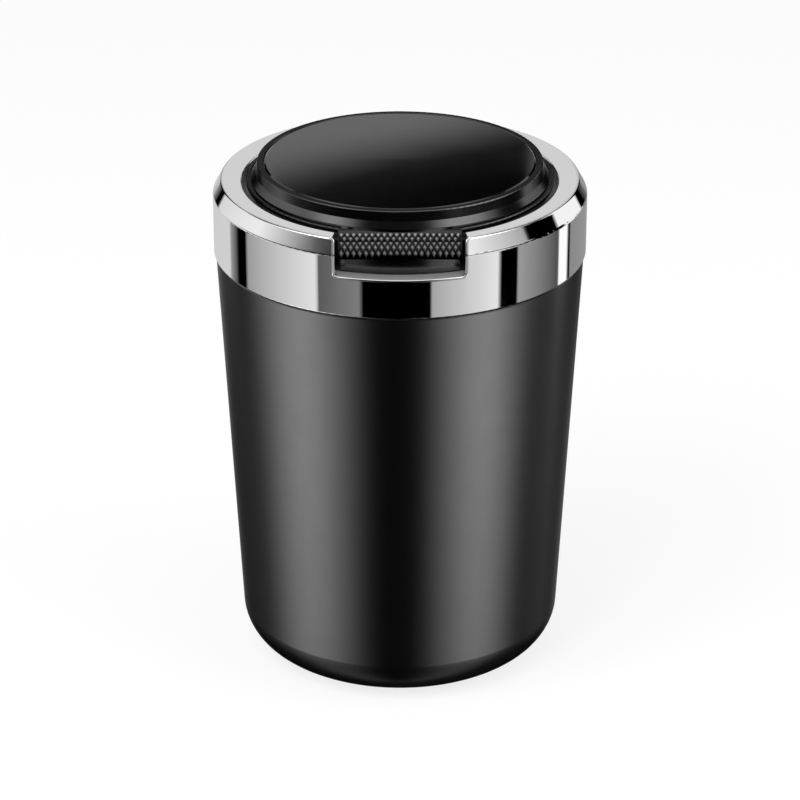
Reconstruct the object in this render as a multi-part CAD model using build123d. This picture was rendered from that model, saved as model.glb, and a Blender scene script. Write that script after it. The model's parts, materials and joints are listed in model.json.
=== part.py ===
"""Cup-holder car ashtray: a tapered cup with a metal liner, and a screw-on head with a plated
ring, an ash funnel, a small battery light and a flip lid with a knurled lift tab.

Millimetres. Z is up, the origin is the centre of the cup's underside, and -Y is the front,
where the lift tab is. The lid's hinge is at the back.
"""

import os
from math import cos, radians, sin, sqrt

from build123d import *

# Driving dimensions: cup and liner
cup_height = 93.2
cup_ring_step = 0.4
cup_taper = 4.9
cup_base_round = 9.6
cup_wall = 2.6
cup_floor = 2.6
mouth_rim_width = 2.2
mouth_depth = 9.2
liner_sheet = 0.6
liner_gap = 0.5

# Driving dimensions: plated ring
ring_radius = 40.1
ring_height = 16.4
ring_chamfer_height = 3.2
ring_chamfer_width = 1.8
ring_face_width = 4.4
ring_dish = 0.7
ring_wall = 1.2
ring_edge_round = 0.3
ring_shoulder_round = 1.2
ring_crest_round = 0.6
notch_width = 27.0
notch_depth = 7.8
notch_foot_round = 0.7
notch_top_round = 0.9
notch_bevel = 0.35
sill_depth = 3.35

# Driving dimensions: head housing
part_line_gap = 0.2
spigot_wall = 2.0
spigot_gap = 0.6
spigot_end_gap = 0.4
seal_height = 1.6
seal_depth = 0.9
seal_top_offset = 0.8
floor_thickness = 1.8
shell_wall = 1.6
shell_gap = 0.2
deck_thickness = 1.6
deck_drop = 2.6
seat_width = 2.85
seat_margin = 0.7
pocket_wall = 1.2
board_post_radius = 1.4
board_post_margin = 4.0
screw_boss_radius = 2.6
screw_boss_margin = 0.3
screw_core_radius = 1.1
screw_head_radius = 2.0
screw_head_height = 1.2
screw_slot_length = 2.4
screw_slot_width = 0.5
screw_slot_depth = 0.35
screw_length = 9.5
screw_count = 4

# Driving dimensions: funnel and snuffer
drop_hole_radius = 12.0
funnel_wall = 1.4
funnel_cone_height = 8.4
funnel_throat_height = 1.8
drop_tube_length = 5.0
snuffer_radius = 4.6
snuffer_sheet = 0.5
snuffer_length = 12.4
snuffer_boss_wall = 1.4
snuffer_margin = 0.3

# Driving dimensions: light
light_ring_width = 2.35
light_ring_top_drop = 0.7
light_ring_lip = 0.3
board_thickness = 1.0
board_width = 5.0
board_half_angle = 30.0
led_size = (1.2, 2.0, 0.8)
led_angles = (-18.0, 0.0, 18.0)
cell_radius = 3.95
cell_thickness = 3.6
cell_count = 3
cell_margin = 1.55
contact_sheet = 0.3
contact_width = 5.5
contact_drop = 2.4
well_wall = 1.0
well_gap = 0.2
door_thickness = 1.1
door_lap = 0.45
door_screw_margin = 3.25
switch_height = 0.6
switch_width = 3.0
plunger_angle = 25.0
plunger_radius = 0.7
plunger_flange_radius = 1.1
plunger_flange_height = 0.6
plunger_travel = 1.1

# Driving dimensions: lid
lid_top_above_ring = 3.6
lid_side_gap = 1.05
lid_rim_width = 1.35
lid_band_width = 0.5
lid_band_height = 2.0
lid_flare_width = 0.95
lid_flare_height = 1.4
lid_groove_depth = 0.65
lid_groove_width = 0.4
lid_ridge_width = 0.5
lid_flange_drop = 0.2
lid_flange_thickness = 0.85
lid_plug_gap = 1.45
lid_plug_wall = 1.7
lid_plug_depth = 1.9
lid_ceiling = 1.4
disc_thickness = 1.0
disc_crown = 0.15
disc_bevel = 0.3
lid_plate_thickness = 0.7
lid_plate_drop = 0.1
lid_post_radius = 3.2

# Driving dimensions: lift tab and its knurl
tab_side_gap = 0.9
tab_roll_radius = 7.2
tab_root_angle = 12.0
tab_lip_setback = 2.65
tab_lip_hollow = 0.7
tab_lip_thickness = 0.6
tab_sill_gap = 0.3
knurl_columns = 20
knurl_rows = 5
knurl_first_angle = 16.6
knurl_row_angle = 9.1
knurl_height = 0.4
knurl_sink = 0.25
knurl_fill = 0.92

# Driving dimensions: hinge
hinge_offset = 2.3
hinge_drop = 2.1
hinge_pin_radius = 0.9
hinge_knuckle_radius = 2.0
hinge_lug_width = 9.8
hinge_ear_width = 3.0
hinge_side_gap = 0.3
hinge_notch_side_gap = 0.8
hinge_notch_floor_gap = 1.1

# Clearances
press_gap = 0.02
running_gap = 0.05
slip_gap = 0.15

# Heights that follow from the driving dimensions
ledge_z = cup_height - mouth_depth
head_z = cup_height + part_line_gap
ring_top = head_z + ring_height
ring_shoulder_z = ring_top - ring_chamfer_height
ring_inner_z = ring_top - ring_dish
sill_z = ring_top - notch_depth
deck_top = ring_top - deck_drop
deck_under = deck_top - deck_thickness
floor_top = head_z + floor_thickness
lid_top = ring_top + lid_top_above_ring
flange_top = ring_top - lid_flange_drop
lid_base = flange_top - lid_flange_thickness
plug_bottom = lid_base - lid_plug_depth
recess_floor = lid_top - disc_thickness
ceiling_under = recess_floor - lid_ceiling
hinge_z = ring_top - hinge_drop
light_ring_top = deck_top - light_ring_top_drop
funnel_throat_z = floor_top + funnel_throat_height
funnel_rim_z = funnel_throat_z + funnel_cone_height
cell_z = floor_top + well_gap + cell_radius
board_under = cell_z + cell_radius + running_gap
board_top = board_under + board_thickness
snuffer_top = min(floor_top + snuffer_length * 2 / 3, board_under)

# Radii and places that follow, from the ring inwards
cup_rim_radius = ring_radius - cup_ring_step
cup_base_radius = cup_rim_radius - cup_taper
mouth_radius = cup_rim_radius - mouth_rim_width
ring_flat_radius = ring_radius - ring_chamfer_width
ring_bore_radius = ring_flat_radius - ring_face_width
shell_radius = ring_radius - ring_wall - shell_gap
shell_inner_radius = shell_radius - shell_wall
deck_radius = ring_flat_radius - slip_gap
deck_bore_radius = ring_bore_radius - seat_width
seat_outer_radius = ring_bore_radius - seat_margin
screw_circle_radius = shell_radius - screw_boss_radius - screw_boss_margin
spigot_radius = mouth_radius - spigot_gap
spigot_inner_radius = spigot_radius - spigot_wall
light_ring_outer = deck_bore_radius - running_gap
funnel_rim_outer = light_ring_outer - light_ring_width - running_gap
funnel_mouth_radius = funnel_rim_outer - funnel_wall
drop_tube_radius = drop_hole_radius + funnel_wall
snuffer_outer = snuffer_radius + snuffer_sheet
snuffer_boss_radius = snuffer_outer + snuffer_boss_wall
snuffer_x = -(drop_tube_radius + snuffer_boss_radius + snuffer_margin)
board_inner_radius = light_ring_outer + light_ring_lip + slip_gap
board_post_circle = board_inner_radius + board_width / 2
plunger_circle_radius = light_ring_outer + light_ring_lip + plunger_flange_radius + running_gap
cell_x = spigot_inner_radius - cell_radius - cell_margin
door_screw_x = cell_x - cell_radius - well_gap - door_screw_margin
door_inner_x = door_screw_x - screw_boss_radius
lid_flange_radius = ring_bore_radius - lid_side_gap
lid_groove_outer = lid_flange_radius - lid_ridge_width
lid_flare_radius = lid_groove_outer - lid_groove_width
lid_band_radius = lid_flare_radius - lid_flare_width
lid_rim_radius = lid_band_radius - lid_band_width
disc_radius = lid_rim_radius - lid_rim_width - slip_gap
lid_plug_radius = deck_bore_radius - lid_plug_gap
lid_seal_outer = plunger_circle_radius - plunger_radius - running_gap * 2
hinge_y = ring_bore_radius + hinge_offset
hinge_notch_half = hinge_lug_width / 2 + hinge_side_gap + hinge_ear_width + hinge_notch_side_gap
hinge_notch_floor = hinge_z - hinge_knuckle_radius - hinge_notch_floor_gap
pocket_half = notch_width / 2 - running_gap
tab_half = notch_width / 2 - tab_side_gap
tab_lip_reach = ring_radius - tab_lip_setback
tab_face_radius = ring_radius - sill_depth - running_gap


def drum(radius, low, high, at=(0, 0)):
    """Upright cylinder between two heights."""
    base = (Align.CENTER, Align.CENTER, Align.MIN)
    return Pos(at[0], at[1], low) * Cylinder(radius, high - low, align=base)


def tube(inner, outer, low, high, at=(0, 0)):
    """Upright hollow cylinder between two heights."""
    return drum(outer, low, high, at) - drum(inner, low, high, at)


def block(low, high):
    """Box from its lowest and highest corners."""
    size = [b - a for a, b in zip(low, high)]
    return Pos(*low) * Box(*size, align=(Align.MIN, Align.MIN, Align.MIN))


def turned(*points):
    """Solid of revolution about Z from (radius, height) corners; a third value rounds a corner."""
    corners = [point[:2] for point in points]
    rounds = [point[2] if len(point) > 2 else 0 for point in points]
    outline = FilletPolyline(*corners, radius=rounds, close=True)
    return revolve(Plane.XZ * make_face(outline), Axis.Z)


def sector(inner, outer, half_width, low, high, side):
    """Part of a ring within half_width of the YZ plane, at the front (side -1) or back (side 1)."""
    near, far = sorted((0, side * (outer + 1)))
    keep = block((-half_width, near, low), (half_width, far, high))
    return tube(inner, outer, low, high) & keep


def across(radius, y, z, start, end):
    """Cylinder along X between two x values."""
    base = (Align.CENTER, Align.CENTER, Align.MIN)
    return Pos(start, y, z) * Rot(0, 90, 0) * Cylinder(radius, end - start, align=base)


def cross_slot(at, low, high):
    """Cross-shaped screwdriver recess between two heights."""
    reach = screw_slot_length / 2
    half = screw_slot_width / 2
    one = block((at[0] - reach, at[1] - half, low), (at[0] + reach, at[1] + half, high))
    return one + block((at[0] - half, at[1] - reach, low), (at[0] + half, at[1] + reach, high))


def polar(radius, angle):
    """Plan position at an angle in degrees from +X."""
    return radius * cos(radians(angle)), radius * sin(radians(angle))


def cup_wall_radius(z):
    """Outer radius of the tapered cup wall at a height."""
    return cup_base_radius + (cup_rim_radius - cup_base_radius) * z / cup_height


def liner_radius(z):
    """Outer radius of the liner's wall at a height."""
    return cup_wall_radius(z) - cup_wall - liner_gap


def make_cup_shell():
    inner_round = max(cup_base_round - cup_wall, cup_wall / 2)
    return turned(
        (0, 0),
        (cup_base_radius, 0, cup_base_round),
        (cup_rim_radius, cup_height, ring_edge_round),
        (mouth_radius, cup_height, ring_edge_round),
        (mouth_radius, ledge_z),
        (cup_wall_radius(ledge_z) - cup_wall, ledge_z),
        (cup_wall_radius(cup_floor) - cup_wall, cup_floor, inner_round),
        (0, cup_floor),
    )


def make_ash_liner():
    bottom = cup_floor + liner_gap
    outer_round = max(cup_base_round - cup_wall - liner_gap, liner_sheet * 2)
    lip = ledge_z + liner_sheet
    return turned(
        (0, bottom),
        (liner_radius(bottom), bottom, outer_round),
        (liner_radius(ledge_z), ledge_z),
        (mouth_radius - liner_gap, ledge_z),
        (mouth_radius - liner_gap, lip),
        (liner_radius(ledge_z) - liner_sheet, lip, liner_sheet / 2),
        (liner_radius(bottom) - liner_sheet, bottom + liner_sheet, outer_round - liner_sheet),
        (0, bottom + liner_sheet),
    )


def make_neck_seal():
    top = head_z - seal_top_offset - running_gap
    bottom = head_z - seal_top_offset - seal_height + running_gap
    inner = spigot_radius - seal_depth + running_gap
    bead = (top - bottom) / 4
    return turned(
        (inner, bottom),
        (mouth_radius - running_gap, bottom, bead),
        (mouth_radius - running_gap, top, bead),
        (inner, top),
    )


def make_chrome_ring():
    inside = ring_radius - ring_wall
    body = turned(
        (ring_radius, head_z, ring_edge_round),
        (ring_radius, ring_shoulder_z, ring_shoulder_round),
        (ring_flat_radius, ring_top, ring_crest_round),
        (ring_bore_radius, ring_inner_z, ring_edge_round),
        (ring_bore_radius, deck_top),
        (ring_bore_radius + ring_wall, deck_top),
        (ring_bore_radius + ring_wall, ring_inner_z - ring_wall),
        (ring_flat_radius - ring_wall / 2, ring_top - ring_wall),
        (inside, ring_shoulder_z - ring_wall / 2),
        (inside, head_z),
    )
    far = ring_radius + 1
    top = ring_top + 1
    half = hinge_notch_half
    hinge_notch = block((-half, 0, hinge_notch_floor), (half, far, top))
    sill_inner = ring_radius - sill_depth
    half = notch_width / 2
    sill = sector(sill_inner, inside + ring_wall / 2, half, sill_z - ring_wall, sill_z, -1)
    return body - make_front_notch() - hinge_notch + sill


def make_front_notch():
    """Cut for the lift tab, with rounded corners and bevelled outer edges."""
    far = ring_radius + 1
    top = ring_top + 1
    half = notch_width / 2
    wide = half + notch_top_round
    bend = ring_top - notch_top_round
    outline = FilletPolyline(
        (-half, top),
        (-half, sill_z),
        (half, sill_z),
        (half, top),
        radius=[0, notch_foot_round, notch_foot_round, 0],
        close=True,
    )
    cut = extrude(Plane.XZ * make_face(outline), amount=far)
    for side in (-1, 1):
        near, out = sorted((side * half, side * wide))
        base = (Align.CENTER, Align.CENTER, Align.MIN)
        roll = Pos(side * wide, 0, bend) * Rot(90, 0, 0) * Cylinder(notch_top_round, far, align=base)
        cut += block((near, -far, bend), (out, 0, ring_top)) - roll
        edge_y = sqrt(ring_radius * ring_radius - half * half)
        inner = (side * half, notch_bevel - edge_y)
        outer = (side * (half + notch_bevel * 2), -edge_y - notch_bevel)
        wedge = make_face(Polyline(inner, outer, (side * half, -far), close=True))
        cut += Pos(0, 0, sill_z + notch_foot_round) * extrude(wedge, amount=notch_depth)
    return cut


def make_head_base():
    groove_top = head_z - seal_top_offset
    spigot_end = ledge_z + liner_sheet + spigot_end_gap
    groove_radius = spigot_radius - seal_depth
    body = turned(
        (drop_tube_radius + slip_gap, head_z),
        (spigot_inner_radius, head_z),
        (spigot_inner_radius, spigot_end, ring_edge_round),
        (spigot_radius, spigot_end, ring_edge_round * 2),
        (spigot_radius, groove_top - seal_height),
        (groove_radius, groove_top - seal_height),
        (groove_radius, groove_top),
        (spigot_radius, groove_top),
        (spigot_radius, head_z),
        (shell_radius, head_z),
        (shell_radius, deck_under),
        (shell_inner_radius, deck_under),
        (shell_inner_radius, floor_top),
        (drop_tube_radius + slip_gap, floor_top),
    )
    for number in range(screw_count):
        spot = polar(screw_circle_radius, 360 / screw_count * (number + 0.5))
        body += drum(screw_boss_radius, floor_top, deck_under, spot)
    for side in (-1, 1):
        spot = polar(board_post_circle, side * (board_half_angle - board_post_margin))
        body += drum(board_post_radius, floor_top, board_under, spot)
    body += make_tab_shelf()
    body = body & drum(shell_radius, 0, deck_under)
    body -= make_tab_pocket(sill_z - ring_wall - running_gap)
    for number in range(screw_count):
        spot = polar(screw_circle_radius, 360 / screw_count * (number + 0.5))
        body -= drum(screw_core_radius + press_gap, deck_top - screw_length - 1, deck_top, spot)
    body -= drum(snuffer_outer + slip_gap, 0, floor_top + 1, (snuffer_x, 0))
    return body + make_battery_well() - make_battery_opening()


def make_tab_shelf():
    """Walls that close the housing behind and beside the lift tab."""
    half = pocket_half + pocket_wall
    low = sill_z - ring_wall - running_gap - pocket_wall / 2
    return sector(seat_outer_radius - pocket_wall, shell_radius, half, low, deck_under, -1)


def make_tab_pocket(sill_cut_z):
    """Space for the lift tab, and for the plated sill in front of it."""
    top = deck_top + 1
    far = ring_radius + 1
    pocket = sector(seat_outer_radius, far, pocket_half, sill_z, top, -1)
    sill_inner = ring_radius - sill_depth - running_gap
    return pocket + sector(sill_inner, far, notch_width / 2 + running_gap, sill_cut_z, top, -1)


def cell_half_length():
    """Half the length of the cell stack with its two contact plates."""
    return cell_count * cell_thickness / 2 + contact_sheet + running_gap * 2


def make_battery_well():
    half_x = cell_radius + well_gap + well_wall
    half_y = cell_half_length() + well_gap + well_wall
    top = cell_z + cell_radius / 2
    well = block((cell_x - half_x, -half_y, floor_top), (cell_x + half_x, half_y, top))
    boss_top = floor_top + door_thickness * 3
    return well + drum(screw_boss_radius, floor_top, boss_top, (door_screw_x, 0))


def make_battery_opening():
    """Cell space through the floor, the door's recess and the door screw's pilot hole."""
    half_x = cell_radius + well_gap
    half_y = cell_half_length() + well_gap
    cells = block((cell_x - half_x, -half_y, head_z - 1), (cell_x + half_x, half_y, deck_under))
    gap = running_gap
    outer = cell_x + half_x + door_lap + gap
    side = half_y + door_lap * 2 + gap
    recess_top = head_z + door_thickness + gap
    recess = block((door_inner_x - gap, -side, head_z - 1), (outer, side, recess_top))
    pilot_top = floor_top + door_thickness * 2
    pilot = drum(screw_core_radius + press_gap, head_z, pilot_top, (door_screw_x, 0))
    spigot = tube(spigot_inner_radius - gap, spigot_radius, 0, head_z + door_thickness)
    return cells + (recess - spigot) + pilot


def make_battery_door():
    half_y = cell_half_length() + well_gap + door_lap * 2
    outer = cell_x + cell_radius + well_gap + door_lap
    plate = block((door_inner_x, -half_y, head_z), (outer, half_y, head_z + door_thickness))
    plate = plate & drum(spigot_inner_radius - slip_gap, head_z, head_z + door_thickness)
    return plate - drum(screw_core_radius + slip_gap, head_z - 1, floor_top, (door_screw_x, 0))


def make_battery_door_screw():
    tip = floor_top + door_thickness * 2 - slip_gap
    head = drum(screw_head_radius, head_z - screw_head_height, head_z, (door_screw_x, 0))
    head = fillet(head.edges().sort_by(Axis.Z)[0], screw_head_height / 2)
    face = head_z - screw_head_height
    head -= cross_slot((door_screw_x, 0), face, face + screw_slot_depth)
    return head + drum(screw_core_radius, head_z, tip, (door_screw_x, 0))


def make_battery_cells():
    cells = []
    for number in range(cell_count):
        y = (number - (cell_count - 1) / 2) * cell_thickness
        can = Cylinder(cell_radius, cell_thickness - running_gap)
        cell = Pos(cell_x, y, cell_z) * Rot(90, 0, 0) * can
        cells.append(chamfer(cell.edges(), ring_edge_round))
    return Compound(children=cells)


def make_battery_contacts():
    half_y = cell_count * cell_thickness / 2 + running_gap
    half_x = contact_width / 2
    low = cell_z - contact_drop
    plates = []
    for side in (-1, 1):
        near, far = sorted((side * half_y, side * (half_y + contact_sheet)))
        plates.append(block((cell_x - half_x, near, low), (cell_x + half_x, far, board_under)))
    return Compound(children=plates)


def make_head_deck():
    body = tube(deck_bore_radius, deck_radius, deck_under, deck_top)
    body -= make_tab_pocket(sill_z)
    lug_half = hinge_lug_width / 2 + hinge_side_gap
    ear_half = lug_half + hinge_ear_width
    near = hinge_y - hinge_knuckle_radius
    far = hinge_y + hinge_knuckle_radius
    body -= block((-lug_half, near - hinge_side_gap, deck_under), (lug_half, shell_radius, deck_top))
    for start, end in ((-ear_half, -lug_half), (lug_half, ear_half)):
        body += across(hinge_knuckle_radius, hinge_y, hinge_z, start, end)
        body += block((start, near, deck_under), (end, far, hinge_z))
    body -= across(hinge_pin_radius + press_gap, hinge_y, hinge_z, -ear_half, ear_half)
    for number in range(screw_count):
        spot = polar(screw_circle_radius, 360 / screw_count * (number + 0.5))
        body -= drum(screw_core_radius + slip_gap, deck_under, deck_top, spot)
        body -= drum(screw_head_radius + slip_gap, deck_top - screw_head_height, deck_top, spot)
    spot = polar(plunger_circle_radius, plunger_angle)
    pocket_top = board_top + switch_height + plunger_flange_height + plunger_travel + running_gap * 2
    body -= drum(plunger_radius + running_gap, deck_under, deck_top, spot)
    return body - drum(plunger_flange_radius + slip_gap, deck_under, pocket_top, spot)


def make_deck_screws():
    screws = []
    for number in range(screw_count):
        spot = polar(screw_circle_radius, 360 / screw_count * (number + 0.5))
        shank = drum(screw_core_radius, deck_top - screw_length, deck_top - screw_head_height, spot)
        screws.append(drum(screw_head_radius, deck_top - screw_head_height, deck_top, spot) + shank)
    return Compound(children=screws)


def make_hinge_pin():
    half = hinge_lug_width / 2 + hinge_side_gap + hinge_ear_width
    return across(hinge_pin_radius, hinge_y, hinge_z, -half, half)


def make_funnel():
    slope = funnel_cone_height / (funnel_mouth_radius - drop_hole_radius)
    under_drop = funnel_wall * sqrt(1 + slope * slope)
    rim_top = light_ring_top - slip_gap
    shoulder = drop_tube_radius + funnel_wall
    shelf_top = board_under
    shelf_low = shelf_top - funnel_wall

    def cone_under(radius):
        return funnel_throat_z + slope * (radius - drop_hole_radius) - under_drop

    body = turned(
        (drop_hole_radius, head_z - drop_tube_length),
        (drop_hole_radius, funnel_throat_z, funnel_wall),
        (funnel_mouth_radius, funnel_rim_z, funnel_wall),
        (funnel_mouth_radius, rim_top, funnel_wall / 3),
        (funnel_rim_outer, rim_top),
        (funnel_rim_outer, shelf_top),
        (light_ring_outer, shelf_top),
        (light_ring_outer, shelf_low),
        (funnel_rim_outer - funnel_wall * 3, shelf_low),
        (shoulder, cone_under(shoulder)),
        (shoulder, floor_top),
        (drop_tube_radius, floor_top),
        (drop_tube_radius, head_z - drop_tube_length),
    )
    spot = (snuffer_x, 0)
    body += drum(snuffer_boss_radius, floor_top, snuffer_top, spot)
    body -= drum(snuffer_outer + press_gap, head_z - 1, ring_top, spot)
    half_y = cell_half_length() + well_gap + well_wall + slip_gap
    near = funnel_rim_outer - funnel_wall * 4
    battery_side = block((near, -half_y, floor_top), (ring_radius, half_y, shelf_top))
    cone_space = turned(
        (shoulder, cone_under(shoulder) + under_drop / 2),
        (ring_radius, cone_under(ring_radius) + under_drop / 2),
        (ring_radius, floor_top),
        (shoulder, floor_top),
    )
    return body - (battery_side & cone_space)


def make_snuffer_sleeve():
    low = snuffer_top - snuffer_length
    return tube(snuffer_radius, snuffer_outer, low, snuffer_top, (snuffer_x, 0))


def make_light_ring():
    lip_top = deck_under - running_gap
    bottom = board_under + running_gap
    inner = funnel_rim_outer + running_gap
    return turned(
        (inner, bottom),
        (light_ring_outer + light_ring_lip, bottom),
        (light_ring_outer + light_ring_lip, lip_top),
        (light_ring_outer, lip_top),
        (light_ring_outer, light_ring_top, ring_edge_round),
        (inner, light_ring_top, ring_edge_round),
    )


def make_led_board():
    outer = board_inner_radius + board_width
    arc = tube(board_inner_radius, outer, board_under, board_top)
    reach = outer * 2
    start = polar(reach, -board_half_angle)
    end = polar(reach, board_half_angle)
    wedge = extrude(make_face(Polyline((0, 0), start, end, close=True)), amount=board_top + 1)
    return arc & wedge


def make_side_leds():
    depth, width, height = led_size
    leds = []
    for angle in led_angles:
        low = (board_inner_radius + running_gap, -width / 2, board_top)
        high = (board_inner_radius + running_gap + depth, width / 2, board_top + height)
        leds.append(Rot(0, 0, angle) * block(low, high))
    return Compound(children=leds)


def make_light_switch():
    x, y = polar(plunger_circle_radius + switch_width / 4, plunger_angle)
    half = switch_width / 2
    body = block((-half, -half, board_top), (half, half, board_top + switch_height))
    return Pos(x, y, 0) * Rot(0, 0, plunger_angle) * body


def make_switch_plunger():
    spot = polar(plunger_circle_radius, plunger_angle)
    low = board_top + switch_height + running_gap
    flange = drum(plunger_flange_radius, low, low + plunger_flange_height, spot)
    return flange + drum(plunger_radius, low, lid_base - running_gap, spot)


def make_lid_shell():
    band_low = lid_top - lid_band_height
    flare_low = band_low - lid_flare_height
    groove_floor = flare_low - lid_groove_depth
    plug_inner = lid_plug_radius - lid_plug_wall
    edge = ring_edge_round
    body = turned(
        (0, recess_floor),
        (disc_radius + slip_gap, recess_floor),
        (disc_radius + slip_gap, lid_top, edge / 2),
        (lid_rim_radius, lid_top, edge),
        (lid_band_radius, band_low),
        (lid_flare_radius, flare_low, edge / 2),
        (lid_flare_radius, groove_floor),
        (lid_groove_outer, groove_floor),
        (lid_groove_outer, flange_top, edge / 3),
        (lid_flange_radius, flange_top, edge / 2),
        (lid_flange_radius, lid_base),
        (lid_plug_radius, lid_base),
        (lid_plug_radius, plug_bottom, edge),
        (plug_inner, plug_bottom, edge),
        (plug_inner, ceiling_under),
        (0, ceiling_under),
    )
    body += drum(lid_post_radius, lid_base - lid_plate_drop, ceiling_under)
    body -= drum(screw_core_radius + press_gap, lid_base - 1, recess_floor - lid_ceiling / 2)
    return body + make_lift_tab() + make_hinge_lug() - make_hinge_bore()


def make_lift_tab():
    root = radians(tab_root_angle)
    axis_y = -lid_flange_radius + tab_roll_radius * sin(root)
    axis_z = flange_top - tab_roll_radius * cos(root)
    roll = across(tab_roll_radius, axis_y, axis_z, -tab_half, tab_half)
    roll += make_knurl(axis_y, axis_z)
    lip_low = tab_lip_height(axis_y, axis_z) - tab_lip_thickness
    inner = seat_outer_radius + slip_gap * 2
    roll = roll & block((-tab_half, -ring_radius * 2, lip_low), (tab_half, -lid_plug_radius, lid_top))
    hollow_radius = (tab_half * tab_half + tab_lip_hollow * tab_lip_hollow) / (2 * tab_lip_hollow)
    roll -= drum(hollow_radius, 0, lid_top, (0, -tab_lip_reach - hollow_radius))
    roll -= drum(inner, 0, lid_base)
    roll -= drum(lid_flange_radius - lid_groove_width / 2, 0, lid_top)
    face_low = sill_z + tab_sill_gap
    return roll + sector(inner, tab_face_radius, tab_half, face_low, lip_low + tab_lip_thickness, -1)


def make_knurl(axis_y, axis_z):
    """Rows of small pyramids over the tab's roll, each row set half a pitch from the last."""
    pitch = tab_half * 2 / knurl_columns
    stud = make_stud(pitch / 2 * knurl_fill, knurl_row_angle * knurl_fill)
    studs = []
    for row in range(knurl_rows):
        shift = row % 2
        angle = knurl_first_angle + row * knurl_row_angle
        for column in range(knurl_columns - shift):
            x = (column + (1 + shift) / 2) * pitch - tab_half
            studs.append(Pos(x, axis_y, axis_z) * Rot(angle, 0, 0) * stud)
    keep_off = drum(lid_flange_radius + slip_gap, 0, lid_top)
    return [stud - keep_off for stud in studs]


def make_stud(half_width, half_angle):
    """Pyramid that meets the top of the roll in a diamond, with its base sunk below."""
    peak_z = tab_roll_radius + knurl_height
    base_z = tab_roll_radius - knurl_sink
    tip_y = tab_roll_radius * sin(radians(half_angle))
    tip_z = tab_roll_radius * cos(radians(half_angle))
    x = half_width * (peak_z - base_z) / knurl_height
    y = tip_y * (peak_z - base_z) / (peak_z - tip_z)
    base = [(x, 0, base_z), (0, y, base_z), (-x, 0, base_z), (0, -y, base_z)]
    peak = (0, 0, peak_z)
    sides = [Face(Wire.make_polygon([base[i - 1], base[i], peak])) for i in range(len(base))]
    return Solid(Shell([Face(Wire.make_polygon(base))] + sides))


def tab_lip_height(axis_y, axis_z):
    """Height of the tab's rolled surface above its lip."""
    reach = tab_lip_reach + axis_y
    return axis_z + sqrt(tab_roll_radius * tab_roll_radius - reach * reach)


def make_hinge_lug():
    half = hinge_lug_width / 2
    arm = block((-half, lid_flange_radius - 2, lid_base), (half, hinge_y, hinge_z + hinge_knuckle_radius))
    arm -= drum(lid_flange_radius - lid_groove_width / 2, 0, lid_top)
    return arm + across(hinge_knuckle_radius, hinge_y, hinge_z, -half, half)


def make_hinge_bore():
    half = hinge_lug_width / 2
    return across(hinge_pin_radius + running_gap, hinge_y, hinge_z, -half, half)


def make_lid_disc():
    bottom = recess_floor
    edge_top = lid_top
    body = turned(
        (0, bottom),
        (disc_radius, bottom),
        (disc_radius, edge_top - disc_bevel),
        (disc_radius - disc_bevel, edge_top),
        (0, edge_top),
    )
    flat_radius = disc_radius - disc_bevel
    crown_radius = (flat_radius * flat_radius + disc_crown * disc_crown) / (2 * disc_crown)
    crown = Pos(0, 0, edge_top + disc_crown - crown_radius) * Sphere(crown_radius)
    return body + (crown & drum(flat_radius, edge_top, edge_top + 1))


def make_lid_plate():
    top = lid_base - lid_plate_drop
    radius = lid_plug_radius - lid_plug_wall - slip_gap
    return tube(screw_core_radius + slip_gap, radius, top - lid_plate_thickness, top)


def make_lid_plate_screw():
    seat = lid_base - lid_plate_drop - lid_plate_thickness
    face = seat - screw_head_height / 2
    head = drum(screw_head_radius, face, seat) - cross_slot((0, 0), face, face + screw_slot_depth)
    return head + drum(screw_core_radius, seat, recess_floor - lid_ceiling / 2 - slip_gap)


def make_lid_seal():
    inner = lid_plug_radius + running_gap
    return turned(
        (inner, deck_top + running_gap),
        (lid_seal_outer, deck_top + running_gap, ring_edge_round),
        (lid_seal_outer, lid_base, ring_edge_round),
        (inner, lid_base),
    )


pieces = {
    "cup_shell": make_cup_shell,
    "ash_liner": make_ash_liner,
    "neck_seal": make_neck_seal,
    "chrome_ring": make_chrome_ring,
    "head_base": make_head_base,
    "head_deck": make_head_deck,
    "deck_screws": make_deck_screws,
    "hinge_pin": make_hinge_pin,
    "ash_funnel": make_funnel,
    "snuffer_sleeve": make_snuffer_sleeve,
    "light_ring": make_light_ring,
    "led_board": make_led_board,
    "side_leds": make_side_leds,
    "light_switch": make_light_switch,
    "switch_plunger": make_switch_plunger,
    "battery_cells": make_battery_cells,
    "battery_contacts": make_battery_contacts,
    "battery_door": make_battery_door,
    "battery_door_screw": make_battery_door_screw,
    "lid_shell": make_lid_shell,
    "lid_disc": make_lid_disc,
    "lid_plate": make_lid_plate,
    "lid_plate_screw": make_lid_plate_screw,
    "lid_seal": make_lid_seal,
}

os.makedirs("parts", exist_ok=True)
for name, make in pieces.items():
    export_step(make(), f"parts/{name}.step")
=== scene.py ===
"""Looks of the cup-holder ashtray: finishes, threads, the notch's rolled edge, studio and camera.

Metres, in the part's own frame: +Z up, -Y to the front, origin under the cup's middle.
"""

import json
import math

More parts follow.
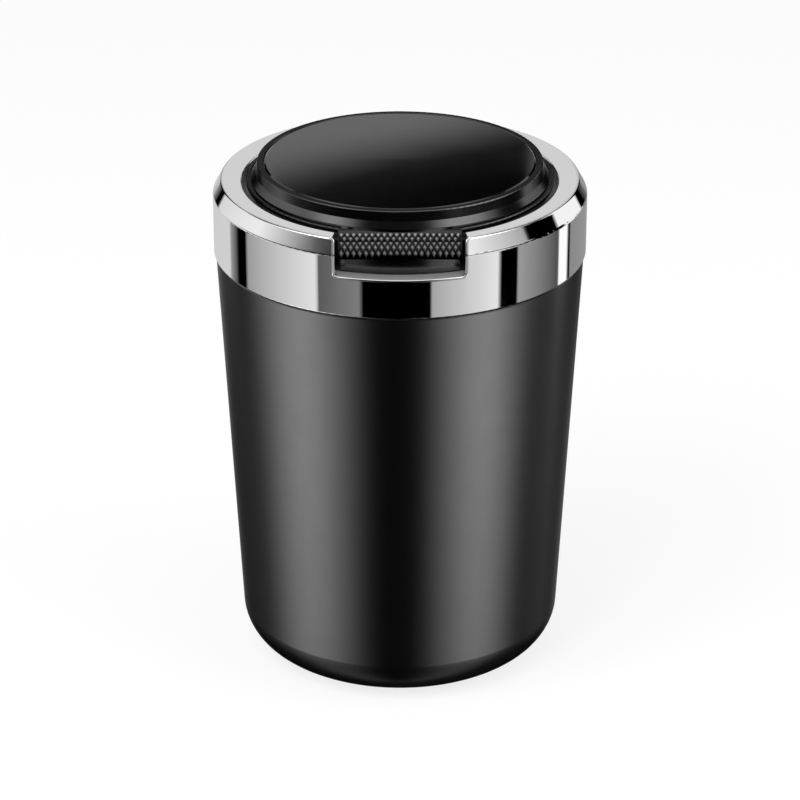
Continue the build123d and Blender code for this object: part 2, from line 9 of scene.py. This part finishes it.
import bmesh
import bpy
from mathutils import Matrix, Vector


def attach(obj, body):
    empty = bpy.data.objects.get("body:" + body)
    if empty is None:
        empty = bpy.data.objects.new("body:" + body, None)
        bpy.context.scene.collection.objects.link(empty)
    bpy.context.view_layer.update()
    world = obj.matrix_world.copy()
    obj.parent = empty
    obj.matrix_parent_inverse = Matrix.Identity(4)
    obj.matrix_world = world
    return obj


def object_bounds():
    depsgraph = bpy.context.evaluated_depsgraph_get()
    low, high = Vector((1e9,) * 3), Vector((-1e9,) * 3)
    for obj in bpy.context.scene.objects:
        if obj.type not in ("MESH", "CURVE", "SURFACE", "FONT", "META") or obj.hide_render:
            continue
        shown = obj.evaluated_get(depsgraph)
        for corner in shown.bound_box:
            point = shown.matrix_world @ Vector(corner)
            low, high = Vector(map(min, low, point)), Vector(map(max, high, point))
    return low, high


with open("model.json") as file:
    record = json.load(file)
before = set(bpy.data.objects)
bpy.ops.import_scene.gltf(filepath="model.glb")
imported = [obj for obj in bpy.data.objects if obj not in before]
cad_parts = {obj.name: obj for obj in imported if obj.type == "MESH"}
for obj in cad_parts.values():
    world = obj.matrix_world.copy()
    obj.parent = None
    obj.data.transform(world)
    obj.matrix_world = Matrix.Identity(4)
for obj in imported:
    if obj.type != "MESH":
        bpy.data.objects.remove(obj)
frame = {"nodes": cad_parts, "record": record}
cad_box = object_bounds()
nodes = frame["nodes"]

MM = 0.001

# Places on the part, from its solids
SILL_TOP = 102.0 * MM
TAB_AXIS_Y = -31.353 * MM
TAB_AXIS_Z = 102.557 * MM
TAB_HALF = 12.58 * MM
KNURL_FOOT = 7.22 * MM
KNURL_TIP = 7.52 * MM
KNURL_MARGIN = 0.1 * MM
KNURL_REACH = 1.0 * MM
KNURL_BACK_Y = -33.0 * MM


# Node helpers

def add_node(tree, kind, inputs=None, **settings):
    """Adds a shader node; an input given as a socket is linked, and any other value is set."""
    made = tree.nodes.new(kind)
    for name, value in settings.items():
        setattr(made, name, value)
    for name, value in (inputs or {}).items():
        if isinstance(value, bpy.types.NodeSocket):
            tree.links.new(value, made.inputs[name])
        else:
            made.inputs[name].default_value = value
    return made


def calc(tree, operation, *values):
    """Output of a math node."""
    return add_node(tree, "ShaderNodeMath", dict(enumerate(values)), operation=operation).outputs[0]


def length(tree, first, second):
    """Length of the diagonal of two offsets."""
    squares = calc(tree, "ADD", calc(tree, "POWER", first, 2.0), calc(tree, "POWER", second, 2.0))
    return calc(tree, "SQRT", squares)


def remap(tree, value, low, high, to_low, to_high, smooth=False):
    """Output of a map range node, clamped to the target range."""
    inputs = {0: value, 1: low, 2: high, 3: to_low, 4: to_high}
    kind = "SMOOTHSTEP" if smooth else "LINEAR"
    return add_node(tree, "ShaderNodeMapRange", inputs, interpolation_type=kind).outputs[0]


def blend_levels(tree, share, first, second):
    """Second colour where the share is 1, first where it is 0."""
    return add_node(tree, "ShaderNodeMix", {0: share, 6: first, 7: second}, data_type="RGBA").outputs[2]


def noise(tree, vector, scale, detail=3.0):
    """Value of a noise texture; scale is in waves per metre."""
    inputs = {"Vector": vector, "Scale": scale, "Detail": detail, "Roughness": 0.55}
    return add_node(tree, "ShaderNodeTexNoise", inputs).outputs[0]


def object_point(tree):
    """Position in the part's frame."""
    return add_node(tree, "ShaderNodeTexCoord").outputs["Object"]


def bump(tree, height, distance, strength=1.0):
    """Bumped normal from a height field; distance is in metres."""
    inputs = {"Height": height, "Distance": distance, "Strength": strength}
    return add_node(tree, "ShaderNodeBump", inputs).outputs[0]


def start_material(name, **shader):
    """New material with a principled shader whose constant sockets are set by name."""
    material = bpy.data.materials.new(name)
    material.use_nodes = True
    tree = material.node_tree
    principled = tree.nodes["Principled BSDF"]
    for socket, value in shader.items():
        principled.inputs[socket.replace("_", " ")].default_value = value
    return material, tree, principled


def grey(level):
    """Neutral colour."""
    return (level, level, level, 1.0)


def link_grey(tree, level, socket):
    """Feeds a level to a colour socket as a neutral colour."""
    colour = add_node(tree, "ShaderNodeCombineColor", {0: level, 1: level, 2: level})
    tree.links.new(colour.outputs[0], socket)


def grain_roughness(tree, principled, scale, low, high):
    """Roughness that drifts between two values over the surface."""
    value = noise(tree, object_point(tree), scale)
    tree.links.new(remap(tree, value, 0.3, 0.7, low, high), principled.inputs["Roughness"])


def grain_bump(tree, principled, scale, depth):
    """Fine moulded or blasted grain."""
    value = noise(tree, object_point(tree), scale, 2.0)
    tree.links.new(bump(tree, value, depth), principled.inputs["Normal"])


# Finishes

def satin_black():
    """Satin black coat of the cup: dark sheen face on, none at grazing angles."""
    material, tree, principled = start_material("satin_black", Metallic=1.0, Specular_Tint=grey(0.3))
    tone = remap(tree, noise(tree, object_point(tree), 120.0), 0.3, 0.7, 0.15, 0.156)
    link_grey(tree, tone, principled.inputs["Base Color"])
    grain_roughness(tree, principled, 260.0, 0.254, 0.266)
    grain_bump(tree, principled, 9000.0, 0.6e-6)
    return material


def satin_lid():
    """Satin black coat of the lid: turned round the rim, with painted highlights on the knurl's points and
    painted shade in its valleys.
    """
    material, tree, principled = start_material("satin_lid", Metallic=1.0, Specular_Tint=grey(0.3))
    split = add_node(tree, "ShaderNodeSeparateXYZ", {0: object_point(tree)})
    x, y, z = split.outputs
    tone = remap(tree, noise(tree, object_point(tree), 120.0), 0.3, 0.7, 0.1, 0.115)
    across = calc(tree, "SUBTRACT", y, TAB_AXIS_Y)
    along = calc(tree, "SUBTRACT", z, TAB_AXIS_Z)
    reach = length(tree, across, along)
    # Painted light on the knurl: base colour goes from near black at the foot radius (painted shade in the
    # valleys) to pale grey at the tips (painted highlight).
    knurl_painted_light = remap(tree, reach, KNURL_FOOT, KNURL_TIP, 0.012, 0.45)
    inside = calc(tree, "LESS_THAN", calc(tree, "ABSOLUTE", x), TAB_HALF)
    forward = calc(tree, "LESS_THAN", y, KNURL_BACK_Y)
    outside = calc(tree, "GREATER_THAN", reach, KNURL_FOOT - KNURL_MARGIN)
    within = calc(tree, "LESS_THAN", reach, KNURL_TIP + KNURL_REACH)
    on_tab = calc(tree, "MULTIPLY", inside, forward)
    on_roll = calc(tree, "MULTIPLY", outside, within)
    # Mask of the knurl, where the painted highlight and shade replace the lid's own tone.
    share = calc(tree, "MULTIPLY", on_tab, on_roll)
    lid_tone_with_painted_knurl_light = add_node(tree, "ShaderNodeMix", {0: share, 2: tone, 3: knurl_painted_light}).outputs[0]
    link_grey(tree, lid_tone_with_painted_knurl_light, principled.inputs["Base Color"])
    radius = length(tree, x, y)
    turned = add_node(tree, "ShaderNodeCombineXYZ", {0: radius, 2: z}).outputs[0]
    lines = noise(tree, turned, 9000.0)
    tree.links.new(remap(tree, lines, 0.3, 0.7, 0.15, 0.21), principled.inputs["Roughness"])
    tree.links.new(bump(tree, lines, 0.8e-6), principled.inputs["Normal"])
    return material


def inner_black():
    """Plain moulded black of the housing and the funnel."""
    material, tree, principled = start_material("inner_black", Base_Color=grey(0.02))
    grain_roughness(tree, principled, 300.0, 0.38, 0.5)
    grain_bump(tree, principled, 5000.0, 6e-6)
    return material


def gloss_black():
    """Polished black inlay of the lid."""
    material, tree, principled = start_material("gloss_black", Base_Color=grey(0.002), IOR=1.52)
    grain_roughness(tree, principled, 150.0, 0.03, 0.05)
    return material


def plated_ring():
    """Bright mirror plating, satin on the sill under the lift tab."""
    material, tree, principled = start_material("plated_ring", Base_Color=(0.88, 0.88, 0.89, 1), Metallic=1.0)
    point = object_point(tree)
    mirror = remap(tree, noise(tree, point, 200.0), 0.3, 0.7, 0.02, 0.04)
    height = add_node(tree, "ShaderNodeSeparateXYZ", {0: point}).outputs[2]
    facing = add_node(tree, "ShaderNodeNewGeometry").outputs["Normal"]
    upward = add_node(tree, "ShaderNodeSeparateXYZ", {0: facing}).outputs[2]
    level = calc(tree, "GREATER_THAN", upward, 0.95)
    sill = calc(tree, "MULTIPLY", level, calc(tree, "LESS_THAN", height, SILL_TOP + MM))
    satin = add_node(tree, "ShaderNodeMix", {0: sill, 2: mirror, 3: 0.48}).outputs[0]
    tree.links.new(satin, principled.inputs["Roughness"])
    return material


def liner_aluminium():
    """Drawn aluminium sheet, with faint draw lines up the wall."""
    material, tree, principled = start_material("liner_aluminium", Base_Color=grey(0.72), Metallic=1.0)
    point = object_point(tree)
    split = add_node(tree, "ShaderNodeSeparateXYZ", {0: point})
    angle = calc(tree, "ARCTAN2", split.outputs[0], split.outputs[1])
    drawn = add_node(tree, "ShaderNodeCombineXYZ", {0: angle, 2: split.outputs[2]}).outputs[0]
    lines = noise(tree, drawn, 90.0)
    tree.links.new(remap(tree, lines, 0.3, 0.7, 0.28, 0.42), principled.inputs["Roughness"])
    tree.links.new(bump(tree, lines, 4e-6), principled.inputs["Normal"])
    return material


def brushed_steel():
    """Steel of the sleeve, plate, pin and screws."""
    material, tree, principled = start_material("steel", Base_Color=grey(0.62), Metallic=1.0)
    inputs = {"Vector": object_point(tree), "Scale": (60.0, 2600.0, 900.0)}
    stretch = add_node(tree, "ShaderNodeMapping", inputs)
    lines = noise(tree, stretch.outputs[0], 1.0)
    tree.links.new(remap(tree, lines, 0.3, 0.7, 0.4, 0.55), principled.inputs["Roughness"])
    tree.links.new(bump(tree, lines, 2e-6), principled.inputs["Normal"])
    return material


def contact_brass():
    """Spring strip of the battery contacts."""
    material, tree, principled = start_material("contact_brass", Base_Color=(0.78, 0.6, 0.3, 1), Metallic=1.0)
    grain_roughness(tree, principled, 900.0, 0.2, 0.35)
    return material


def silicone():
    """Soft matt seal rubber."""
    material, tree, principled = start_material("silicone", Base_Color=grey(0.045), Sheen_Weight=0.15)
    grain_roughness(tree, principled, 700.0, 0.55, 0.68)
    grain_bump(tree, principled, 4000.0, 4e-6)
    return material


def milky_clear():
    """Milky light guide."""
    settings = {"Base_Color": (0.86, 0.9, 0.94, 1), "Transmission_Weight": 0.55, "IOR": 1.49}
    material, tree, principled = start_material("milky_clear", **settings)
    grain_roughness(tree, principled, 600.0, 0.3, 0.42)
    return material


def board_green():
    """Solder mask with the copper's pattern faintly under it."""
    material, tree, principled = start_material("board_green", Roughness=0.35)
    inputs = {"Vector": object_point(tree), "Scale": 420.0}
    cells = add_node(tree, "ShaderNodeTexVoronoi", inputs, feature="DISTANCE_TO_EDGE")
    trace = remap(tree, cells.outputs[0], 0.04, 0.09, 0.0, 1.0)
    tone = blend_levels(tree, trace, (0.05, 0.27, 0.12, 1), (0.02, 0.14, 0.06, 1))
    tree.links.new(tone, principled.inputs["Base Color"])
    return material


def led_white():
    """Moulded lamp bodies."""
    material, tree, principled = start_material("led_white", Base_Color=(0.88, 0.87, 0.74, 1))
    grain_roughness(tree, principled, 2000.0, 0.25, 0.35)
    return material


def switch_grey():
    """Moulded grey of the switch and its plunger."""
    material, tree, principled = start_material("switch_grey", Base_Color=grey(0.18))
    grain_roughness(tree, principled, 1500.0, 0.4, 0.5)
    return material


FINISHES = {
    "satin_black": satin_black,
    "satin_lid": satin_lid,
    "inner_black": inner_black,
    "gloss_black": gloss_black,
    "plated_ring": plated_ring,
    "liner_aluminium": liner_aluminium,
    "steel": brushed_steel,
    "contact_brass": contact_brass,
    "silicone": silicone,
    "milky_clear": milky_clear,
    "board_green": board_green,
    "led_white": led_white,
    "switch_grey": switch_grey,
}


def dress_nodes():
    """Gives every CAD node the finish of its material slot."""
    made = {slot: make() for slot, make in FINISHES.items()}
    for subpart in frame["record"]["subparts"]:
        slot = subpart["material_slot"]
        mesh = nodes[subpart["node"]].data
        mesh.materials.clear()
        mesh.materials.append(made["satin_lid" if subpart["node"] == LID_NODE else slot])
    return made


# Small pieces over the solids

THREAD_LEAD = 8.0 * MM
THREAD_STARTS = 2
THREAD_LOW = 85.9 * MM
THREAD_HIGH = 90.2 * MM
THREAD_STEPS = 60
THREAD_FOOT = 0.7 * MM
THREAD_CREST = 0.35 * MM
THREAD_FADE = 8.0
THREAD_LEAST = 0.05
SPIGOT_RADIUS = 36.9 * MM
MOUTH_RADIUS = 37.5 * MM
RIDGE = 0.4 * MM
SUNK = 0.2 * MM
RING_RADIUS = 40.1 * MM
RING_TOP = 109.8 * MM
CHAMFER_HEIGHT = 3.2 * MM
CHAMFER_WIDTH = 1.8 * MM
NOTCH_HALF = 13.5 * MM
NOTCH_FOOT_ROUND = 0.7 * MM
NOTCH_TOP_ROUND = 0.9 * MM
BEAD_RADIUS = 0.28 * MM
BEAD_SUNK = 0.15 * MM
BEAD_SIDES = 12
ARC_STEPS = 8
RUN_STEPS = 16


def add_lofts(name, lofts, finish, body, smooth):
    """Closed forms through rings of points, as one piece that rides on a body."""
    points, faces = [], []
    for rings in lofts:
        first, count = len(points), len(rings[0])
        for ring in rings:
            points.extend(ring)
        for row in range(len(rings) - 1):
            start = first + row * count
            for side in range(count):
                after = (side + 1) % count
                faces.append((start + side, start + after, start + count + after, start + count + side))
        last = len(points) - count
        faces.append(tuple(first + side for side in reversed(range(count))))
        faces.append(tuple(last + side for side in range(count)))
    mesh = bpy.data.meshes.new(name)
    mesh.from_pydata(points, [], faces)
    shape = bmesh.new()
    shape.from_mesh(mesh)
    bmesh.ops.recalc_face_normals(shape, faces=shape.faces)
    shape.to_mesh(mesh)
    shape.free()
    mesh.polygons.foreach_set("use_smooth", [smooth] * len(mesh.polygons))
    mesh.materials.append(finish)
    piece = bpy.data.objects.new(name, mesh)
    bpy.context.scene.collection.objects.link(piece)
    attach(piece, body)


def thread(wall, crest, shift):
    """Ridges of a coarse thread from a wall's radius to a crest's, faded out at both ends."""
    lofts = []
    turn = (THREAD_HIGH - THREAD_LOW) / THREAD_LEAD * math.tau
    for start in range(THREAD_STARTS):
        rings = []
        for step in range(THREAD_STEPS + 1):
            share = step / THREAD_STEPS
            angle = turn * share + math.tau * start / THREAD_STARTS
            z = THREAD_LOW + (THREAD_HIGH - THREAD_LOW) * share
            fade = min(1.0, THREAD_FADE * min(share, 1.0 - share) + THREAD_LEAST)
            tip = wall + (crest - wall) * fade
            section = ((wall, -THREAD_FOOT), (tip, -THREAD_CREST), (tip, THREAD_CREST), (wall, THREAD_FOOT))
            spin = angle + shift
            rings.append([(r * math.cos(spin), r * math.sin(spin), z + rise) for r, rise in section])
        lofts.append(rings)
    return lofts


def notch_edge():
    """Points along the outer edge of the ring's front notch, from one top corner to the other."""
    half = NOTCH_HALF + BEAD_SUNK
    foot = NOTCH_FOOT_ROUND + BEAD_SUNK
    top = NOTCH_TOP_ROUND - BEAD_SUNK
    bend = RING_TOP - NOTCH_TOP_ROUND
    sill = SILL_TOP - BEAD_SUNK
    plan = []
    quarter = [math.tau / 4 * step / ARC_STEPS for step in range(ARC_STEPS + 1)]
    for angle in reversed(quarter):
        plan.append((half + top - top * math.cos(angle), bend + top * math.sin(angle)))
    drop = sill + foot - bend
    plan += [(half, bend + drop * step / RUN_STEPS) for step in range(1, RUN_STEPS)]
    for angle in quarter:
        plan.append((half - foot + foot * math.cos(angle), sill + foot - foot * math.sin(angle)))
    plan += [((half - foot) * (1 - step / RUN_STEPS), sill) for step in range(1, RUN_STEPS + 1)]
    plan += [(-x, z) for x, z in reversed(plan[:-1])]
    path = []
    for x, z in plan:
        above = max(z - (RING_TOP - CHAMFER_HEIGHT), 0.0)
        radius = RING_RADIUS - above * CHAMFER_WIDTH / CHAMFER_HEIGHT - BEAD_SUNK
        path.append(Vector((x, -math.sqrt(radius * radius - x * x), z)))
    return path


def bead(path, radius):
    """Round rod along a path on the ring's front."""
    rings = []
    for place, point in enumerate(path):
        along = (path[min(place + 1, len(path) - 1)] - path[max(place - 1, 0)]).normalized()
        outward = Vector((point.x, point.y, 0.0))
        outward = (outward - along * outward.dot(along)).normalized()
        beside = along.cross(outward)
        ring = []
        for side in range(BEAD_SIDES):
            angle = math.tau * side / BEAD_SIDES
            ring.append(point + radius * (outward * math.cos(angle) + beside * math.sin(angle)))
        rings.append(ring)
    return [rings]


def add_small_pieces(finishes):
    """Thread on the head's spigot and in the cup's mouth, and the rolled edge of the ring's notch."""
    spigot = thread(SPIGOT_RADIUS - SUNK, SPIGOT_RADIUS + RIDGE, 0.0)
    add_lofts("spigot_thread", spigot, finishes["inner_black"], "head", False)
    half_pitch = math.tau / (2 * THREAD_STARTS)
    mouth = thread(MOUTH_RADIUS + SUNK, MOUTH_RADIUS - RIDGE, half_pitch)
    add_lofts("mouth_thread", mouth, finishes["satin_black"], "cup", False)
    edge = bead(notch_edge(), BEAD_RADIUS)
    add_lofts("notch_rolled_edge", edge, finishes["plated_ring"], "head", True)


# Studio

FULL_TURN = 360.0


def level_ramp(tree, position, stops, blend="LINEAR"):
    """Grey level along a 0 to 1 position, from (position, level) stops."""
    ramp = add_node(tree, "ShaderNodeValToRGB", {0: position})
    ramp.color_ramp.interpolation = blend
    elements = ramp.color_ramp.elements
    while len(elements) < len(stops):
        elements.new(1.0)
    for element, (place, level) in zip(elements, stops):
        element.position = place
        element.color = grey(level)
    return ramp.outputs[0]


def round_the_room(panels):
    """Panel levels by azimuth in degrees, 0 at the front and +90 at +X, as ramp stops."""
    return [(azimuth / FULL_TURN + 0.5, level) for azimuth, level in panels]


# What faces that look a little downward mirror: two soft panels, dark between and beside them
FLOOR_PANELS = [
    (-180, 0.5), (-150, 0.25), (-112, 0.2), (-65, 2.3), (-16, 0.0), (10, 0.0), (57, 2.3), (97, 0.15),
    (135, 0.42), (180, 0.5),
]
# What upright faces mirror: pale panels with dark gaps between them
LOW_PANELS = [
    (-180, 0.62), (-129, 0.7), (-127.5, 0.34), (-119, 0.06), (-118, 0.0), (-109, 0.0), (-107.8, 0.36),
    (-52.4, 0.84), (-51.2, 0.11), (-24.5, 0.23), (-23.3, 0.0), (18.5, 0.0), (19.7, 0.42), (62.6, 0.88),
    (63.8, 0.0), (76.2, 0.0), (77.4, 0.36), (113.8, 0.08), (115, 1.1), (124.6, 1.1), (125.6, 0.0),
    (128, 0.0), (129.5, 0.28), (180, 0.34),
]
# What faces that look upward mirror
HIGH_PANELS = [
    (-180, 0.7), (-172, 0.7), (-165, 0.35), (-156, 0.35), (-154, 0.0), (-140, 0.0), (-138, 0.75),
    (-97, 0.95), (-56, 0.12), (-45, 0.04), (35, 0.04), (41, 1.0), (84, 0.42), (86, 0.0), (109, 0.0),
    (111, 1.0), (137, 1.0), (139, 0.0), (156, 0.0), (158, 0.35), (165, 0.35), (172, 0.7), (180, 0.7),
]
# What steeper faces mirror, well above the horizon
TOP_PANELS = [
    (-180, 0.7), (-172, 0.7), (-165, 0.3), (-150, 0.3), (-130, 0.05), (-112, 0.15), (-86, 2.2), (-56, 2.2),
    (-34, 0.03), (25, 0.03), (46, 2.2), (80, 2.2), (106, 0.15), (130, 0.05), (150, 0.3), (165, 0.3),
    (172, 0.7), (180, 0.7),
]
# Card behind the part that the lid's disc mirrors: level by a height that leans with the azimuth
CARD_STOPS = [(18.9, 0.72), (21.2, 0.03), (22.6, 0.0)]
CARD_LEAN = 0.413
CARD_HALF_DEG = 2.9
CARD_LOW_DEG = 17.4
CARD_HIGH_DEG = 24.4
CARD_SOFT_DEG = 0.2
FLOOR_LINE_DEG = -25.0
LINE_SOFT_DEG = 0.6
FLOOR_FADE = (-38.0, -28.8, 0.1, 1.0)
HORIZON_DEG = -9.0
HORIZON_SOFT_DEG = 5.0
TOP_LINE_DEG = 35.2
TOP_SOFT_DEG = 1.0
SEAM_HALF_DEG = 105.0
SEAM_SOFT_DEG = 8.0
SEAM_DARK_DEG = (-3.0, 8.0)
SEAM_LIGHT_DEG = (-19.6, -16.0)
SEAM_LIGHT = 1.5
OVERHEAD_LINE_DEG = 64.0
OVERHEAD_SOFT_DEG = 4.0
OVERHEAD_LEVEL = 1.2
FILL_LEVEL = 0.5
FLOOR_HALF = 4.0
FLOOR_DROP = 0.02 * MM
CAMERA_LENS = 145.95
CAMERA_PLACE = (0.0, -0.650, 0.35727)
CAMERA_DOWN_DEG = 24.81
LID_NODE = "lid_shell"
UNMIRRORED_NODES = ("lid_shell", "lid_disc")


def step_up(tree, value, edge, soft):
    """Rises from 0 to 1 across an edge."""
    return remap(tree, value, edge - soft, edge + soft, 0.0, 1.0)


def band(tree, value, low, high, soft):
    """1 between two edges and 0 outside them."""
    return calc(tree, "SUBTRACT", step_up(tree, value, low, soft), step_up(tree, value, high, soft))


def make_card(tree, behind, elevation):
    """Share and level of the card that the lid's disc mirrors."""
    lean = calc(tree, "MULTIPLY_ADD", behind, CARD_LEAN, elevation)
    first, last = CARD_STOPS[0][0], CARD_STOPS[-1][0]
    stops = [((height - first) / (last - first), level) for height, level in CARD_STOPS]
    level = level_ramp(tree, remap(tree, lean, first, last, 0.0, 1.0), stops, "EASE")
    beside = step_up(tree, calc(tree, "ABSOLUTE", behind), CARD_HALF_DEG, CARD_SOFT_DEG)
    above = step_up(tree, elevation, CARD_LOW_DEG, CARD_SOFT_DEG)
    over = step_up(tree, elevation, CARD_HIGH_DEG, CARD_SOFT_DEG)
    share = calc(tree, "SUBTRACT", calc(tree, "SUBTRACT", above, over), beside)
    return calc(tree, "MAXIMUM", share, 0.0), level


def make_world():
    """White to the camera, an even fill for matt faces, and studio panels for glossy ones."""
    world = bpy.data.worlds.new("studio")
    bpy.context.scene.world = world
    world.use_nodes = True
    world.cycles.sampling_method = "NONE"
    tree = world.node_tree
    direction = add_node(tree, "ShaderNodeTexCoord").outputs["Generated"]
    split = add_node(tree, "ShaderNodeSeparateXYZ", {0: direction})
    azimuth = calc(tree, "ARCTAN2", split.outputs[0], calc(tree, "MULTIPLY", split.outputs[1], -1.0))
    turn = calc(tree, "MULTIPLY_ADD", azimuth, 0.5 / math.pi, 0.5)
    behind = calc(tree, "DEGREES", calc(tree, "ARCTAN2", split.outputs[0], split.outputs[1]))
    elevation = calc(tree, "DEGREES", calc(tree, "ARCSINE", split.outputs[2]))
    floor = level_ramp(tree, turn, round_the_room(FLOOR_PANELS), "EASE")
    fade = remap(tree, elevation, *FLOOR_FADE)
    floor = blend_levels(tree, fade, grey(0.0), floor)
    low = level_ramp(tree, turn, round_the_room(LOW_PANELS))
    high = level_ramp(tree, turn, round_the_room(HIGH_PANELS))
    top = level_ramp(tree, turn, round_the_room(TOP_PANELS))
    panels = blend_levels(tree, step_up(tree, elevation, FLOOR_LINE_DEG, LINE_SOFT_DEG), floor, low)
    panels = blend_levels(tree, step_up(tree, elevation, HORIZON_DEG, HORIZON_SOFT_DEG), panels, high)
    panels = blend_levels(tree, step_up(tree, elevation, TOP_LINE_DEG, TOP_SOFT_DEG), panels, top)
    overhead = step_up(tree, elevation, OVERHEAD_LINE_DEG, OVERHEAD_SOFT_DEG)
    panels = blend_levels(tree, overhead, panels, grey(OVERHEAD_LEVEL))
    front = calc(tree, "ABSOLUTE", calc(tree, "DEGREES", azimuth))
    ahead = calc(tree, "SUBTRACT", 1.0, step_up(tree, front, SEAM_HALF_DEG, SEAM_SOFT_DEG))
    dark = calc(tree, "MULTIPLY", ahead, band(tree, elevation, *SEAM_DARK_DEG, LINE_SOFT_DEG))
    light = calc(tree, "MULTIPLY", ahead, band(tree, elevation, *SEAM_LIGHT_DEG, LINE_SOFT_DEG))
    panels = blend_levels(tree, dark, panels, grey(0.0))
    panels = blend_levels(tree, light, panels, calc(tree, "MULTIPLY", low, SEAM_LIGHT))
    card_share, card_level = make_card(tree, behind, elevation)
    panels = blend_levels(tree, card_share, panels, card_level)
    path = add_node(tree, "ShaderNodeLightPath")
    seen = calc(tree, "MAXIMUM", path.outputs["Is Camera Ray"], path.outputs["Is Transmission Ray"])
    plain = blend_levels(tree, seen, grey(FILL_LEVEL), grey(1.0))
    colour = blend_levels(tree, path.outputs["Is Glossy Ray"], plain, panels)
    tree.links.new(colour, tree.nodes["Background"].inputs["Color"])


def make_floor():
    """Pale floor that stays white to the camera but keeps a soft shadow."""
    mesh = bpy.data.meshes.new("floor")
    half = FLOOR_HALF
    depth = -FLOOR_DROP
    corners = [(-half, -half, depth), (half, -half, depth), (half, half, depth), (-half, half, depth)]
    mesh.from_pydata(corners, [], [(0, 1, 2, 3)])
    floor = bpy.data.objects.new("floor", mesh)
    bpy.context.scene.collection.objects.link(floor)
    material = bpy.data.materials.new("floor_white")
    material.use_nodes = True
    tree = material.node_tree
    tree.nodes.clear()
    glow = add_node(tree, "ShaderNodeEmission", {"Strength": 0.8}).outputs[0]
    shade = add_node(tree, "ShaderNodeBsdfDiffuse", {"Color": grey(0.24)}).outputs[0]
    shown = add_node(tree, "ShaderNodeAddShader", {0: glow, 1: shade}).outputs[0]
    bounce = add_node(tree, "ShaderNodeBsdfDiffuse", {"Color": grey(0.8)}).outputs[0]
    to_camera = add_node(tree, "ShaderNodeLightPath").outputs["Is Camera Ray"]
    mix = add_node(tree, "ShaderNodeMixShader", {0: to_camera, 1: bounce, 2: shown}).outputs[0]
    add_node(tree, "ShaderNodeOutputMaterial", {0: mix})
    mesh.materials.append(material)
    floor.visible_glossy = False


def make_lamp(name, place, size, power):
    """Soft area lamp that faces the part's middle."""
    data = bpy.data.lights.new(name, "AREA")
    data.size = size
    data.energy = power
    lamp = bpy.data.objects.new(name, data)
    bpy.context.scene.collection.objects.link(lamp)
    lamp.location = place
    middle = (cad_box[0] + cad_box[1]) / 2
    lamp.rotation_euler = (middle - lamp.location).to_track_quat("-Z", "Y").to_euler()
    lamp.visible_glossy = False


def make_camera():
    """Camera at the photograph's viewing angle."""
    data = bpy.data.cameras.new("camera")
    data.lens = CAMERA_LENS
    data.sensor_width = 36.0
    camera = bpy.data.objects.new("camera", data)
    bpy.context.scene.collection.objects.link(camera)
    camera.location = CAMERA_PLACE
    camera.rotation_euler = (math.radians(90.0 - CAMERA_DOWN_DEG), 0.0, 0.0)
    bpy.context.scene.camera = camera


finishes = dress_nodes()
for unmirrored in UNMIRRORED_NODES:
    nodes[unmirrored].visible_glossy = False
add_small_pieces(finishes)
make_world()
make_floor()
make_lamp("key", (-0.35, -0.35, 0.65), 0.5, 3.0)
make_lamp("fill", (0.5, -0.2, 0.45), 0.5, 1.2)
make_camera()
bpy.context.scene.view_settings.view_transform = "Standard"
